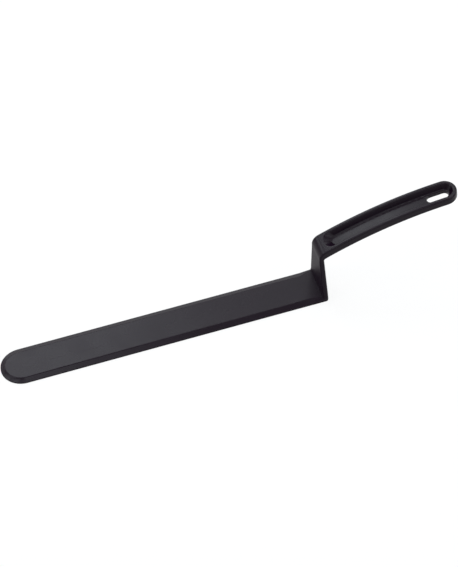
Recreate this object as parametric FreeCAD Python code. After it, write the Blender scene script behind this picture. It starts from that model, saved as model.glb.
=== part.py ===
import FreeCAD, Part
import math
import os

# Offset spatula for spreading and smoothing, moulded in one piece from a stiff black plastic.
# The blade lies flat, the riser stands on its heel, and the grooved handle runs back from the
# riser's bend. Riser, bend and the scooped start of the groove are shaped as one crank, so that
# their skin runs on unbroken, and are divided across the handle where the bend ends. Beyond the
# scoop the handle is one section, carried along the bowed rim and turned round the end.
# X runs from the tip towards the handle's end, and Z is up. Lengths are in millimetres and angles
# in degrees. Heights start at the blade's underside.

# Blade
blade_length = 300.0            # tip to the riser's front face
blade_width = 40.0
blade_thickness = 3.7
edge_thickness = 1.4            # left standing outside the bevel
bevel_width = 5.6
bevel_runout = 11.0             # the bevel narrows over this length before the riser
heel_bevel_width = 3.2          # what is left of it at the riser's front

# Riser
riser_thickness = 4.8
bend_height = 47.6              # where the front face turns into the outer bend
bend_radius = 10.0              # outside of the bend
inner_bend_radius = 2.5         # between the riser's back and the handle's underside
taper_height = 47.0             # where the riser's sides have come in to the handle's width
side_blend_radius = 50.0        # between those sides and the handle's

# Handle
handle_slope = 22.0             # climb of the rim where it leaves the bend
rim_radius = 395.0              # the rim bows upwards along the handle
handle_length = 132.0           # along the rim, from the bend to the end
handle_width = 23.8
handle_depth = 8.8
grip_edge_radius = 2.6          # edges of the underside and of the riser's back
rim_edge_radius = 1.5           # edges of the rim and of the riser's front

# Groove in the top of the handle
rim_width = 3.4
groove_floor = 2.8              # plastic left under the groove
groove_draft = 30.0             # lean of the groove's walls
groove_edge_radius = 1.4
groove_base_radius = 2.5        # between the walls and the groove's floor
groove_start = 1.4              # along the rim, from the bend to the groove's edge
scoop_run = 1.5                 # straight floor in the scoop before the floor's round end
scoop_spread = 4.0              # how much further back the mouth's round end lies than the floor's
scoop_rise = 4.0                # height over the rim to which the scoop's space is drawn out

# Hanging slot through the groove's floor, its far end in line with the handle's round end
slot_width = 8.0
slot_length = 20.6

overrun = 5.0                   # how far a cutting shape runs past what it cuts
touching = 1e-3                 # distance at which an edge counts as lying on a surface

X = FreeCAD.Vector(1, 0, 0)
Y = FreeCAD.Vector(0, 1, 0)
Z = FreeCAD.Vector(0, 0, 1)
START = FreeCAD.Vector(0, 0, 0)


def line(start, end):
    return Part.LineSegment(start, end).toShape()


def on_circle(centre, radius, angle, across=X, up=Z):
    turn = math.radians(angle)
    return centre + across * (radius * math.cos(turn)) + up * (radius * math.sin(turn))


def arc(centre, radius, start, end, across=X, up=Z):
    angles = (start, (start + end) / 2, end)
    points = [on_circle(centre, radius, angle, across, up) for angle in angles]
    return Part.Arc(*points).toShape()


def outline(*edges):
    """A closed wire through the edges in order, with straight runs where they leave gaps."""
    run = []
    for edge, following in zip(edges, edges[1:] + edges[:1]):
        end, start = edge.Vertexes[-1].Point, following.Vertexes[0].Point
        run.append(edge)
        if end.distanceToPoint(start) > touching:
            run.append(line(end, start))
    return Part.Wire(run)


# The rim is an arc about rim_centre. Shapes for the handle are made with the rim's centre at the
# origin and the handle running along X at the top of the circle, and on_rim puts them in place.
bend_centre = X * bend_radius + Z * bend_height
bend_end = on_circle(bend_centre, bend_radius, 90 + handle_slope)
rim_centre = on_circle(bend_end, rim_radius, handle_slope - 90)

# Distances along the rim are measured from the bend's end.
groove_depth = handle_depth - groove_floor
groove_half = handle_width / 2 - rim_width      # to the sharp corner that the edge rounds off
scoop_end = groove_start + groove_half + scoop_run + scoop_spread
round_start = handle_length - handle_width / 2  # where the handle's round end begins


def slope_at(distance):
    return handle_slope - math.degrees(distance / rim_radius)


def on_rim(shape, distance):
    shape.rotate(START, Y, -slope_at(distance))
    shape.translate(rim_centre)
    return shape


def grip_side():
    """The crank's side profile from behind: riser's back, inner bend, handle's underside."""
    underside_radius = rim_radius - handle_depth
    reach = underside_radius - inner_bend_radius
    inner_x = riser_thickness + inner_bend_radius
    drop = math.degrees(math.acos((inner_x - rim_centre.x) / reach))
    inner_centre = on_circle(rim_centre, reach, drop)
    foot = X * riser_thickness + Z * blade_thickness
    back = line(foot, on_circle(inner_centre, inner_bend_radius, 180))
    inner_bend = arc(inner_centre, inner_bend_radius, 180, drop)
    underside = arc(rim_centre, underside_radius, drop, 90 + slope_at(scoop_end))
    return [back, inner_bend, underside]


def rim_side():
    """The rest of the side profile, back along the rim to the riser's foot."""
    rim = arc(rim_centre, rim_radius, 90 + slope_at(scoop_end), 90 + handle_slope)
    bend = arc(bend_centre, bend_radius, 90 + handle_slope, 180)
    front = line(Z * bend_height, Z * blade_thickness)
    return [rim, bend, front]


def across_width(wire_or_face):
    """What lies in the side view, drawn out over the full width."""
    drawn = wire_or_face.extrude(Y * blade_width)
    drawn.translate(-Y * (blade_width / 2))
    return drawn


def front_view():
    """The crank seen along X: sides that taper up from the blade's width to the handle's."""
    foot = blade_width / 2
    top = handle_width / 2
    lean = math.degrees(math.atan2(foot - top, taper_height - blade_thickness))
    blend_height = taper_height + side_blend_radius * math.tan(math.radians(lean / 2))
    blend_centre = Y * (top + side_blend_radius) + Z * blend_height
    mirrored_centre = Z * (2 * blend_height) - blend_centre
    near_top = rim_centre.z + rim_radius + overrun
    sill = line(Z * blade_thickness - Y * foot, Z * blade_thickness + Y * foot)
    right = arc(blend_centre, side_blend_radius, 180 + lean, 180, Y, Z)
    crown = line(Z * near_top + Y * top, Z * near_top - Y * top)
    left = arc(mirrored_centre, side_blend_radius, 0, -lean, Y, Z)
    return Part.Face(outline(sill, right, crown, left)).extrude(X * 2 * blade_length)


def lies_on(edge, skin):
    points = edge.discretize(5)
    return all(skin.distToShape(Part.Vertex(point))[0] < touching for point in points)


def runs_across(edge):
    first, last = edge.Vertexes[0].Point, edge.Vertexes[-1].Point
    return abs(abs(first.y - last.y) - edge.Length) < touching


def rounded(solid, skin, radius):
    """The solid with its edges along a skin rounded, apart from those that cross from side to side."""
    edges = [e for e in solid.Edges if lies_on(e, skin) and not runs_across(e)]
    return solid.makeFillet(radius, edges)


def groove_side():
    """The groove's right side cut square across, the rim at height 0: base arc, wall, edge arc."""
    lean = math.radians(groove_draft)
    across, up = math.sin(lean), math.cos(lean)
    edge_y = handle_width / 2 - rim_width + groove_edge_radius * (1 - across) / up
    edge_centre = Y * edge_y - Z * groove_edge_radius
    edge = arc(edge_centre, groove_edge_radius, 180 - groove_draft, 90, Y, Z)
    wall_top = edge.Vertexes[0].Point
    foot_z = groove_base_radius * (1 - across) - groove_depth
    wall_foot = wall_top - (Y * math.tan(lean) + Z) * (wall_top.z - foot_z)
    base_y = wall_foot.y - groove_base_radius * up
    base_centre = Y * base_y + Z * (groove_base_radius - groove_depth)
    base = arc(base_centre, groove_base_radius, -90, -groove_draft, Y, Z)
    return base, line(wall_foot, wall_top), edge


def handle_section():
    """The right half of the grooved handle cut square across, the rim at height 0."""
    base, wall, edge = groove_side()
    rim_y = handle_width / 2 - rim_edge_radius
    grip_y = handle_width / 2 - grip_edge_radius
    grip_z = grip_edge_radius - handle_depth
    rim_edge = arc(Y * rim_y - Z * rim_edge_radius, rim_edge_radius, 90, 0, Y, Z)
    grip_edge = arc(Y * grip_y + Z * grip_z, grip_edge_radius, 0, -90, Y, Z)
    middle = line(-Z * handle_depth, -Z * groove_depth)
    return Part.Face(outline(middle, base, wall, edge, rim_edge, grip_edge))


def grip():
    """The handle beyond the scoop: its section carried along the rim and turned round the end."""
    swept = handle_section()
    swept.translate(Z * rim_radius)
    right = swept.revolve(START, Y, math.degrees((round_start - scoop_end) / rim_radius))
    run = right.fuse(right.mirror(START, Y))
    end = handle_section().revolve(START, Z, -180)
    end.translate(Z * rim_radius)
    return on_rim(run, scoop_end).fuse(on_rim(end, round_start)).cut(slot())


def scoop_outline(height):
    """The scoop in plan at a height over the rim: straight sides that end in a half circle."""
    half = groove_half + height * math.tan(math.radians(groove_draft))
    back = scoop_run + scoop_spread * (height + groove_depth) / groove_depth
    end = arc(Z * height - X * back, half, 90, 270, X, Y)
    return outline(end, line(Z * height - Y * half, Z * height + Y * half))


def scoop():
    """The space of the groove's start: its walls spread from the floor's round end to the mouth's."""
    steps = [scoop_outline(-groove_depth), scoop_outline(scoop_rise)]
    space = Part.makeLoft(steps, True, True)
    foot = [e for e in space.Edges if abs(e.CenterOfMass.z + groove_depth) < touching
            and e.CenterOfMass.x < -touching]
    space = space.makeFillet(groove_base_radius, foot)
    space.translate(Z * rim_radius)
    return on_rim(space, scoop_end)


def slot():
    """The hanging slot's space: straight sides and round ends, square to the groove's floor."""
    half = slot_width / 2
    far = arc(START, half, -90, 90, X, Y)
    near = arc(-X * (slot_length - slot_width), half, 90, 270, X, Y)
    space = Part.Face(outline(far, near)).extrude(Z * (handle_depth + overrun))
    space.translate(Z * (rim_radius - handle_depth - overrun / 2))
    return on_rim(space, round_start)


def crank():
    """Riser, bend and scooped start of the handle as one shape."""
    grip_skin = across_width(Part.Wire(grip_side()))
    rim_skin = across_width(Part.Wire(rim_side()))
    body = across_width(Part.Face(outline(*grip_side(), *rim_side())))
    body = body.common(front_view()).removeSplitter()
    body = rounded(body, grip_skin, grip_edge_radius)
    body = rounded(body, rim_skin, rim_edge_radius)
    hollow = scoop()
    body = body.cut(hollow)
    mouth = [e for e in body.Edges if lies_on(e, rim_skin) and lies_on(e, hollow)]
    return body.makeFillet(groove_edge_radius, mouth)


def handle_end():
    """How far the handle reaches along X, at the top of the rounding under its end."""
    slope = math.radians(slope_at(round_start))
    out = handle_width / 2 - grip_edge_radius
    down = handle_depth - grip_edge_radius
    start = on_circle(rim_centre, rim_radius, 90 + slope_at(round_start))
    return start.x + out * math.cos(slope) + down * math.sin(slope) + grip_edge_radius


def handle_region():
    """Everything beyond the square cut across the handle where the bend ends."""
    corner = Z * (rim_radius - handle_length) - Y * (blade_width / 2)
    region = Part.makeBox(2 * handle_length, blade_width, 2 * handle_length, corner)
    return on_rim(region, 0)


def blade_outline(inset, height):
    """The blade in plan up to where the bevel starts to fade, drawn in from its edge."""
    half = blade_width / 2 - inset
    tip_centre = X * (blade_width / 2 - blade_length) + Z * height
    heelward = Z * height - X * bevel_runout
    tip = arc(tip_centre, half, 90, 270, X, Y)
    return outline(tip, line(heelward - Y * half, heelward + Y * half))


def blade_section(distance, bevel):
    """The corners of the blade cut square across, with a bevel of this width on each top edge."""
    half = blade_width / 2
    edge = blade_thickness - (blade_thickness - edge_thickness) * bevel / bevel_width
    right = [(half, 0), (half, edge), (half - bevel, blade_thickness)]
    points = right + [(-y, z) for y, z in reversed(right)]
    return [X * distance + Y * y + Z * z for y, z in points]


def flat_sided(first, last):
    """The solid between two sections with the same number of corners."""
    first_ring, last_ring = first + first[:1], last + last[:1]
    loops = [first_ring, last_ring]
    for corner in range(len(first)):
        side = first_ring[corner:corner + 2] + last_ring[corner:corner + 2][::-1]
        loops.append(side + side[:1])
    return Part.Solid(Part.Shell([Part.Face(Part.makePolygon(loop)) for loop in loops]))


def blade():
    """The bevelled blade with its round tip, the bevel's run-out and the heel under the riser."""
    plate = Part.Face(blade_outline(0, 0)).extrude(Z * edge_thickness)
    steps = [blade_outline(0, edge_thickness), blade_outline(bevel_width, blade_thickness)]
    bevelled = Part.makeLoft(steps, True, True)
    start = blade_section(-bevel_runout, bevel_width)
    runout = flat_sided(start, blade_section(0, heel_bevel_width))
    corner = -Y * (blade_width / 2)
    heel = Part.makeBox(riser_thickness, blade_width, blade_thickness, corner)
    back = [e for e in heel.Edges if e.CenterOfMass.x > riser_thickness - touching
            and abs(e.Length - blade_thickness) < touching]
    heel = heel.makeFillet(grip_edge_radius, back)
    return plate.fuse([bevelled, runout, heel]).removeSplitter()


def main():
    """Writes each node with the origin under the middle of the spatula's length."""
    start = crank()
    beyond = handle_region()
    nodes = {
        "blade": blade(),
        "riser": start.cut(beyond),
        "handle": start.common(beyond).fuse(grip()).removeSplitter(),
    }
    middle = (handle_end() - blade_length) / 2
    os.makedirs("parts", exist_ok=True)
    for name, shape in nodes.items():
        shape.translate(-X * middle)
        box = shape.BoundBox
        print(name, len(shape.Solids), "solid", shape.isValid(), round(shape.Volume, 1),
              [round(v, 2) for v in (box.XMin, box.XMax, box.YMin, box.YMax, box.ZMin, box.ZMax)])
        shape.exportStep(f"parts/{name}.step")


main()
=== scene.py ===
import math

import bmesh
import bpy
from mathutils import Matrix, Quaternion, Vector


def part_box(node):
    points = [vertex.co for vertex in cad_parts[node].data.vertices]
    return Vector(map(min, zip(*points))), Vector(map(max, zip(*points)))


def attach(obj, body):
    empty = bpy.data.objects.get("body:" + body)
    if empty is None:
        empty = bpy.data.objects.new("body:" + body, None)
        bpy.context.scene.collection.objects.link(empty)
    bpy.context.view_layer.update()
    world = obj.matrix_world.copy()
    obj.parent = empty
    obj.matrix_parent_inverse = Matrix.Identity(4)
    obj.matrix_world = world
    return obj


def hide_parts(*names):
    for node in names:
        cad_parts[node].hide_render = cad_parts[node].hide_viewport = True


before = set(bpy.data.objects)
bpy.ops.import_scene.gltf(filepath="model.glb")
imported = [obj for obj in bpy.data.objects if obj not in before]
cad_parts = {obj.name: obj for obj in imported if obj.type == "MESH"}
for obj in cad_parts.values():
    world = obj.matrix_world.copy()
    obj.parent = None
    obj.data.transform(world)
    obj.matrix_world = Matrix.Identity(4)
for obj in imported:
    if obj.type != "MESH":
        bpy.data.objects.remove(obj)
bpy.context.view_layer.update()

print("frame loaded")


def addObject(name, data):
    added = bpy.data.objects.new(name, data)
    bpy.context.scene.collection.objects.link(added)
    return added


def meshFrom(shape, name):
    mesh = bpy.data.meshes.new(name)
    shape.to_mesh(mesh)
    shape.free()
    return mesh


def turnTo(thing, rotation):
    thing.rotation_mode = "QUATERNION"
    thing.rotation_quaternion = rotation


camera = {
    "aim": (-0.00015, 0.0001, 0.0367),
    "azimuth": -12.97,  # degrees, 0 looks along +Y
    "elevation": 49.12,
    "roll": -5.26,
    "distance": 2.2566,
    "lens": 158.7,
    "nearest": 0.1,
    "furthest": 50.0,
}


def addCamera(shot):
    turn, rise = math.radians(shot["azimuth"]), math.radians(shot["elevation"])
    back = Vector((math.sin(turn) * math.cos(rise), -math.cos(turn) * math.cos(rise), math.sin(rise)))
    upright = (-back).to_track_quat("-Z", "Y")
    eye = addObject("Camera", bpy.data.cameras.new("Camera"))
    eye.location = Vector(shot["aim"]) + back * shot["distance"]
    turnTo(eye, upright @ Quaternion((0, 0, 1), math.radians(shot["roll"])))
    eye.data.lens = shot["lens"]
    eye.data.clip_start = shot["nearest"]
    eye.data.clip_end = shot["furthest"]
    bpy.context.scene.camera = eye


addCamera(camera)
bpy.context.scene.view_settings.view_transform = "Standard"
print("camera placed")


def addNode(tree, kind, **settings):
    node = tree.nodes.new(kind)
    for key, value in settings.items():
        setattr(node, key, value)
    return node


def feed(tree, socket, value):  # a link where the value comes from a node, else a plain value
    if isinstance(value, bpy.types.NodeSocket):
        tree.links.new(value, socket)
    else:
        socket.default_value = value


def fedNode(tree, kind, given, **settings):  # a node with its inputs fed by name
    node = addNode(tree, kind, **settings)
    for label, value in given.items():
        feed(tree, node.inputs[label], value)
    return node.outputs


def doMath(tree, operation, *values, clamp=False):
    node = addNode(tree, "ShaderNodeMath", operation=operation, use_clamp=clamp)
    for socket, value in zip(node.inputs, values):
        feed(tree, socket, value)
    return node.outputs[0]


def ramp(tree, value, low, high, toLow=0.0, toHigh=1.0):  # smooth change between two values
    given = {"Value": value, "From Min": low, "From Max": high, "To Min": toLow, "To Max": toHigh}
    return fedNode(tree, "ShaderNodeMapRange", given, interpolation_type="SMOOTHSTEP")["Result"]


def noise(tree, place, scale, detail, roughness=0.5):
    given = {"Vector": place, "Scale": scale, "Detail": detail, "Roughness": roughness}
    return fedNode(tree, "ShaderNodeTexNoise", given)["Fac"]


def ownPlace(tree):  # the piece's own coordinates
    return addNode(tree, "ShaderNodeTexCoord").outputs["Object"]


def onPiece(tree, stretch=(1, 1, 1), turn=(0, 0, 0)):  # the same, drawn out and turned
    given = {"Vector": ownPlace(tree), "Scale": stretch, "Rotation": turn}
    return fedNode(tree, "ShaderNodeMapping", given)["Vector"]


def mixColours(tree, share, first, second):
    given = {"Factor": share, "A": first, "B": second}
    return fedNode(tree, "ShaderNodeMix", given, data_type="RGBA")["Result"]


def mixShaders(tree, share, first, second):
    mix = addNode(tree, "ShaderNodeMixShader")
    for socket, value in zip(mix.inputs, (share, first, second)):
        feed(tree, socket, value)
    return mix.outputs[0]


def newMaterial(name):
    material = bpy.data.materials.new(name)
    material.use_nodes = True
    material.node_tree.nodes.clear()
    return material


def newGroup(name, inputs, outputs):
    group = bpy.data.node_groups.new(name, "ShaderNodeTree")
    for label, value in inputs.items():
        kind = "NodeSocketVector" if isinstance(value, tuple) else "NodeSocketFloat"
        group.interface.new_socket(label, in_out="INPUT", socket_type=kind).default_value = value
    for label in outputs:
        group.interface.new_socket(label, in_out="OUTPUT", socket_type="NodeSocketFloat")
    return group, addNode(group, "NodeGroupInput").outputs, addNode(group, "NodeGroupOutput").inputs


grainLook = {
    "inputs": {"Scale": 1500.0, "Height": 0.000004},
    "pebbleShare": 0.5,
    "softScale": 1.7,  # of the soft noise, in the pebbles' own
    "softDetail": 3.0,
    "softRoughness": 0.6,
}


def makeMouldGrain(look):  # the fine pebble that the mould leaves, as a height
    group, given, out = newGroup("MouldGrain", look["inputs"], ["Height"])
    place = onPiece(group)
    pebble = fedNode(group, "ShaderNodeTexVoronoi", {"Vector": place, "Scale": given["Scale"]},
                     feature="SMOOTH_F1")["Distance"]
    softScale = doMath(group, "MULTIPLY", given["Scale"], look["softScale"])
    soft = noise(group, place, softScale, look["softDetail"], look["softRoughness"])
    both = doMath(group, "MULTIPLY_ADD", pebble, look["pebbleShare"], soft)
    feed(group, out["Height"], doMath(group, "MULTIPLY", both, given["Height"]))
    return group


flowLook = {
    "inputs": {"Scale": 60.0, "Stretch": (0.2, 1.0, 1.0)},
    "streakDetail": 4.0,
    "streakRoughness": 0.55,
    "streakRange": (0.32, 0.68),
    "cloudScale": 0.6,  # in the streaks' own
    "cloudDetail": 2.0,
    "cloudRange": (0.3, 0.7),
}


def makeFlowMarks(look):  # soft streaks and clouds left where the plastic ran through the mould
    group, given, out = newGroup("FlowMarks", look["inputs"], ["Streaks", "Clouds"])
    streaks = noise(group, onPiece(group, given["Stretch"]), given["Scale"],
                    look["streakDetail"], look["streakRoughness"])
    feed(group, out["Streaks"], ramp(group, streaks, *look["streakRange"]))
    cloudScale = doMath(group, "MULTIPLY", given["Scale"], look["cloudScale"])
    clouds = noise(group, onPiece(group), cloudScale, look["cloudDetail"])
    feed(group, out["Clouds"], ramp(group, clouds, *look["cloudRange"]))
    return group


wearLook = {
    "inputs": {"Width": 0.0008, "Patches": 220.0},
    "samples": 4,
    "bentRange": (0.995, 0.93),  # cosine between the face and its rounded self
    "openReach": 4.0,  # how far around the edge has to be open, in its widths
    "openRange": (0.75, 0.95),
    "patchDetail": 3.0,
    "patchRoughness": 0.6,
    "patchRange": (0.4, 0.62),
}


def makeEdgeWear(look):  # 1 on outer edges that hands and bowls have rubbed, broken up along them
    group, given, out = newGroup("EdgeWear", look["inputs"], ["Mask"])
    rounded = fedNode(group, "ShaderNodeBevel", {"Radius": given["Width"]}, samples=look["samples"])
    face = addNode(group, "ShaderNodeNewGeometry").outputs
    turned = addNode(group, "ShaderNodeVectorMath", operation="DOT_PRODUCT")
    feed(group, turned.inputs[0], rounded["Normal"])
    feed(group, turned.inputs[1], face["Normal"])
    bent = ramp(group, turned.outputs["Value"], *look["bentRange"])
    reach = doMath(group, "MULTIPLY", given["Width"], look["openReach"])
    uncovered = fedNode(group, "ShaderNodeAmbientOcclusion", {"Distance": reach},
                        samples=look["samples"], only_local=True)["AO"]
    outer = ramp(group, uncovered, *look["openRange"])
    broken = noise(group, onPiece(group), given["Patches"], look["patchDetail"], look["patchRoughness"])
    patches = ramp(group, broken, *look["patchRange"])
    feed(group, out["Mask"], doMath(group, "MULTIPLY", doMath(group, "MULTIPLY", bent, outer), patches))
    return group


lineLook = {
    "inputs": {"Scale": 500.0, "Stretch": (0.03, 1.0, 1.0), "Turn": (0.0, 0.0, 0.1)},
    "detail": 2.0,
    "roughness": 0.4,
    "range": (0.62, 0.72),
    "patchScale": 70.0,
    "patchDetail": 2.0,
    "patchRange": (0.42, 0.62),
}


def makeHairlines(look):  # faint rubbed lines, mostly along one direction
    group, given, out = newGroup("Hairlines", look["inputs"], ["Mask"])
    lines = noise(group, onPiece(group, given["Stretch"], given["Turn"]), given["Scale"],
                  look["detail"], look["roughness"])
    broken = noise(group, onPiece(group), look["patchScale"], look["patchDetail"])
    thin = ramp(group, lines, *look["range"])
    patches = ramp(group, broken, *look["patchRange"])
    feed(group, out["Mask"], doMath(group, "MULTIPLY", thin, patches))
    return group


mouldGrain = makeMouldGrain(grainLook)
flowMarks = makeFlowMarks(flowLook)
edgeWear = makeEdgeWear(wearLook)
hairlines = makeHairlines(lineLook)
print("node groups made")


def plasticMaterial(name, look):
    material = newMaterial(name)
    tree = material.node_tree

    def placed(group, **names):  # the group, with the look's values under the names given
        given = {label: look[key] for label, key in names.items()}
        return fedNode(tree, "ShaderNodeGroup", given, node_tree=group)

    flow = placed(flowMarks, Scale="flowScale", Stretch="flowStretch")
    grain = placed(mouldGrain, Scale="grainScale", Height="grainHeight")["Height"]
    worn = placed(edgeWear, Width="wearWidth", Patches="wearPatches")["Mask"]
    rubbed = placed(hairlines, Scale="lineScale", Stretch="lineStretch", Turn="lineTurn")["Mask"]

    colour = mixColours(tree, flow["Streaks"], look["colour"], look["streakColour"])
    colour = mixColours(tree, worn, colour, look["wornColour"])

    along = fedNode(tree, "ShaderNodeSeparateXYZ", {"Vector": ownPlace(tree)})[look["mattAlong"]]
    low, high = look["mattBetween"]  # where the mould's matt part goes over into the satin one
    rough = ramp(tree, along, low, high, look["mattRoughness"], look["roughness"])
    rough = doMath(tree, "MULTIPLY_ADD", flow["Clouds"], look["roughnessSpread"], rough)
    rough = doMath(tree, "MULTIPLY_ADD", rubbed, look["lineRoughness"], rough)
    rough = doMath(tree, "MULTIPLY_ADD", worn, -look["wornPolish"], rough, clamp=True)

    height = doMath(tree, "MULTIPLY_ADD", flow["Clouds"], look["rippleHeight"], grain)
    height = doMath(tree, "MULTIPLY_ADD", rubbed, -look["lineDepth"], height)
    bump = fedNode(tree, "ShaderNodeBump", {"Distance": 1.0, "Height": height})  # height is in metres

    shader = fedNode(tree, "ShaderNodeBsdfPrincipled", {
        "Base Color": colour,
        "Roughness": rough,
        "Normal": bump["Normal"],
        "Specular IOR Level": look["specular"],
    })
    fedNode(tree, "ShaderNodeOutputMaterial", {"Surface": shader["BSDF"]})
    return material


blade = {
    "weld": 0.000002,  # points that near to each other are one
    "flat": 0.5,  # degrees below which two facets are one face
    "crease": 14.0,  # degrees from which an edge is rounded
    "edgeReach": 0.0002,  # how far a rounding reaches from its edge
    "edgeSegments": 2,
    "softAngle": 40.0,  # degrees below which a crease is a soft one
    "softReach": 0.0006,
    "softSegments": 4,
    "profile": 0.5,  # a round one
    "flatGrowth": 1.105,  # the near half of the flat top is that much wider at the tip
    "lengthSteps": 23,
    "colour": (0.0036, 0.0004, 0.0040, 1),
    "streakColour": (0.0046, 0.0012, 0.0050, 1),
    "wornColour": (0.0110, 0.0095, 0.0120, 1),
    "specular": 0.1215,
    "roughness": 0.255,
    "mattRoughness": 0.4,
    "mattAlong": "X",
    "mattBetween": (0.082, 0.052),
    "roughnessSpread": 0.04,
    "rippleHeight": 0.00003,
    "flowScale": 55.0,
    "flowStretch": (0.18, 1.0, 1.0),
    "grainScale": 1500.0,
    "grainHeight": 0.0000015,
    "wearWidth": 0.0009,
    "wearPatches": 160.0,
    "wornPolish": 0.05,
    "lineScale": 420.0,
    "lineStretch": (0.03, 1.0, 1.0),
    "lineTurn": (0.0, 0.0, 0.12),
    "lineRoughness": 0.06,
    "lineDepth": 0.000002,
}


def widenFlat(shape, look):  # the bevel narrows towards the tip, on the near side and round the tip
    low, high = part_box("blade")
    runs = [e for e in shape.edges if e.calc_length() > (high.x - low.x) / 2]
    creases = [v.co.x for e in runs for v in e.verts if v.co.z > high.z - look["weld"]]
    start, end = max(creases), min(creases)
    bmesh.ops.subdivide_edges(shape, edges=runs, cuts=look["lengthSteps"], use_grid_fill=True)
    for vertex in shape.verts:
        place = vertex.co
        if place.z > high.z - look["weld"] and place.x < start:
            grow = 1 + (look["flatGrowth"] - 1) * min((start - place.x) / (start - end), 1)
            if place.y < 0:
                place.y *= grow
            if place.x < end:
                place.x = end + (place.x - end) * grow


def roundEdges(shape, look):  # all but those on which the riser stands
    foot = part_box("riser")[0]
    underRiser = [e for e in shape.edges
                  if all(v.co.x > foot.x - look["weld"] and v.co.z > foot.z for v in e.verts)]
    bends = {e: math.degrees(e.calc_face_angle()) for e in shape.edges
             if len(e.link_faces) == 2 and e not in underRiser}
    for low, high, reach, segments in (
            (look["softAngle"], 180, look["edgeReach"], look["edgeSegments"]),
            (look["crease"], look["softAngle"], look["softReach"], look["softSegments"])):
        picked = [e for e, bend in bends.items() if e.is_valid and low < bend <= high]
        bmesh.ops.bevel(shape, geom=picked, offset=reach, affect="EDGES", segments=segments,
                        profile=look["profile"], material=-1, clamp_overlap=True)


def bladeSkin(look):  # the blade again, with its edges really rounded
    shape = bmesh.new()
    shape.from_mesh(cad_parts["blade"].data)
    bmesh.ops.remove_doubles(shape, verts=shape.verts, dist=look["weld"])
    bmesh.ops.dissolve_limit(
        shape, angle_limit=math.radians(look["flat"]), verts=shape.verts, edges=shape.edges)
    widenFlat(shape, look)
    roundEdges(shape, look)
    for face in shape.faces:
        face.smooth = True
    mesh = meshFrom(shape, "BladeSkin")
    skin = addObject("BladeSkin", mesh)
    skin.modifiers.new("EvenShading", "WEIGHTED_NORMAL")  # keeps the flats flat
    mesh.materials.append(plasticMaterial("BladePlastic", look))
    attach(skin, "root")
    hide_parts("blade")
    print("blade skin:", len(mesh.polygons), "faces")


bladeSkin(blade)


def dressNode(nodeName, materialName, look):  # riser and handle keep their own shapes
    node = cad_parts[nodeName]
    node.data.materials.clear()
    node.data.materials.append(plasticMaterial(materialName, look))
    print(nodeName, "dressed")


riser = dict(
    blade,
    mattRoughness=0.48,
    mattAlong="Z",
    mattBetween=(0.044, 0.056),
    flowScale=70.0,
    flowStretch=(1.0, 1.0, 0.25),
    grainScale=1300.0,
    grainHeight=0.000003,
    rippleHeight=0.00002,
    lineStretch=(1.0, 1.0, 0.05),
    lineTurn=(0.1, 0.0, 0.0),
    lineRoughness=0.03,
)
dressNode("riser", "RiserPlastic", riser)

handle = dict(
    blade,
    mattRoughness=blade["roughness"],  # satin all along
    flowScale=80.0,
    flowStretch=(0.25, 1.0, 1.0),
    rippleHeight=0.000012,
    grainHeight=0.0000009,
    wearWidth=0.0012,
    wearPatches=120.0,
    wornPolish=0.07,
    lineStretch=(0.05, 1.0, 1.0),
    lineTurn=(0.0, 0.0, -0.2),
    lineRoughness=0.05,
)
dressNode("handle", "HandlePlastic", handle)

stage = {
    "size": 12.0,
    "gap": 0.0001,  # keeps the floor off the blade's flat underside
    "colour": (0.85, 0.85, 0.85, 1),
    "whiteShare": 0.88,
}


def whiteToTheEye(tree):  # 1 for the rays that show the background, 0 for the rays that light the object
    path = addNode(tree, "ShaderNodeLightPath").outputs
    seen = doMath(tree, "MAXIMUM", path["Is Camera Ray"], path["Is Glossy Ray"])
    return doMath(tree, "MAXIMUM", seen, path["Is Transmission Ray"])


def addFloor(look):
    shape = bmesh.new()
    bmesh.ops.create_grid(shape, x_segments=1, y_segments=1, size=look["size"] / 2)
    bmesh.ops.translate(shape, verts=shape.verts, vec=(0, 0, -look["gap"]))
    mesh = meshFrom(shape, "Floor")
    floor = addObject("Floor", mesh)
    material = newMaterial("PaleFloor")
    tree = material.node_tree
    matt = fedNode(tree, "ShaderNodeBsdfDiffuse", {"Color": look["colour"]})["BSDF"]
    white = addNode(tree, "ShaderNodeEmission").outputs["Emission"]
    share = doMath(tree, "MULTIPLY", whiteToTheEye(tree), look["whiteShare"])
    fedNode(tree, "ShaderNodeOutputMaterial", {"Surface": mixShaders(tree, share, matt, white)})
    mesh.materials.append(material)


addFloor(stage)

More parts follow.
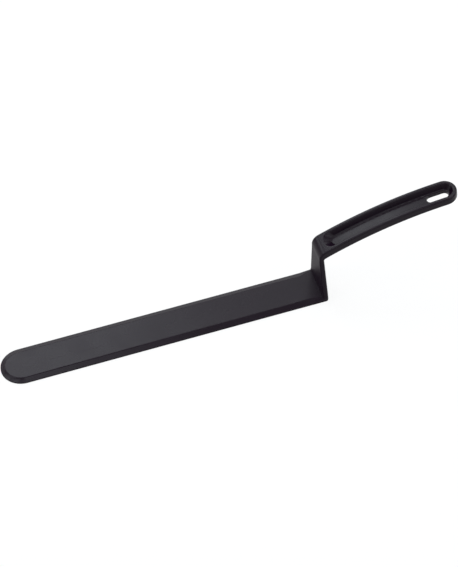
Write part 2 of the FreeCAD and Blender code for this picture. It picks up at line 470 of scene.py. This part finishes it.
light = {
    "room": 0.1,  # brightness all round, where 1 is the white that the camera sees
    "aim": (0, 0, 0.03),
    "colour": (0.9, 0.962, 1.0),
    "lamps": {  # place and size in metres, and brightness
        "backTip": ((-0.15, 0.85, 0.98), (0.5, 0.5), 6.3),
        "backHeel": ((0.35, 0.85, 0.98), (0.5, 0.5), 2.0),
        "backLow": ((0.0, 1.3, 0.35), (1.2, 0.4), 1.5),
        "backFarTip": ((-0.7, 1.0, 0.7), (0.5, 0.5), 2.0),
        "backRight": ((0.8, 1.0, 0.6), (0.5, 0.5), 1.7),
        "topFarTip": ((-0.7, -0.05, 1.17), (0.45, 0.45), 5.6),
        "leftMid": ((-0.94, 0.3, 1.04), (0.45, 0.45), 4.6),
        "leftBack": ((-0.95, 0.88, 0.77), (0.45, 0.45), 2.1),
        "leftLow": ((-1.3, 0.1, 0.3), (0.4, 0.8), 3.3),
        "tipFront": ((-0.15, -0.4, 1.25), (0.4, 0.4), 4.2),
        "heelHigh": ((0.38, 0.45, 1.2), (0.26, 0.5), 7.2),
        "front": ((0.0, -1.2, 0.8), (0.9, 0.6), 2.3),
        "right": ((1.3, 0.2, 0.8), (0.6, 0.6), 5.8),
        "rightFront": ((0.9, -0.8, 0.8), (0.6, 0.6), 4.8),
    },
}


def addLamp(name, place, size, brightness):
    lamp = addObject(name, bpy.data.lights.new(name, "AREA"))
    lamp.data.shape = "RECTANGLE"
    lamp.data.size, lamp.data.size_y = size
    lamp.data.energy = math.pi * size[0] * size[1] * brightness
    lamp.data.color = light["colour"]
    lamp.location = place
    turnTo(lamp, (Vector(light["aim"]) - Vector(place)).to_track_quat("-Z", "Y"))
    lamp.visible_camera = False


def addRoom():
    world = bpy.data.worlds.new("Room")
    bpy.context.scene.world = world
    world.use_nodes = True
    tree = world.node_tree
    tree.nodes.clear()
    room, white = (
        fedNode(tree, "ShaderNodeBackground", {"Color": (1, 1, 1, 1), "Strength": strength})["Background"]
        for strength in (light["room"], 1.0))
    mixed = mixShaders(tree, whiteToTheEye(tree), room, white)
    fedNode(tree, "ShaderNodeOutputWorld", {"Surface": mixed})


for name, (place, size, brightness) in light["lamps"].items():
    addLamp(name, place, size, brightness)
addRoom()
print("stage and light set")
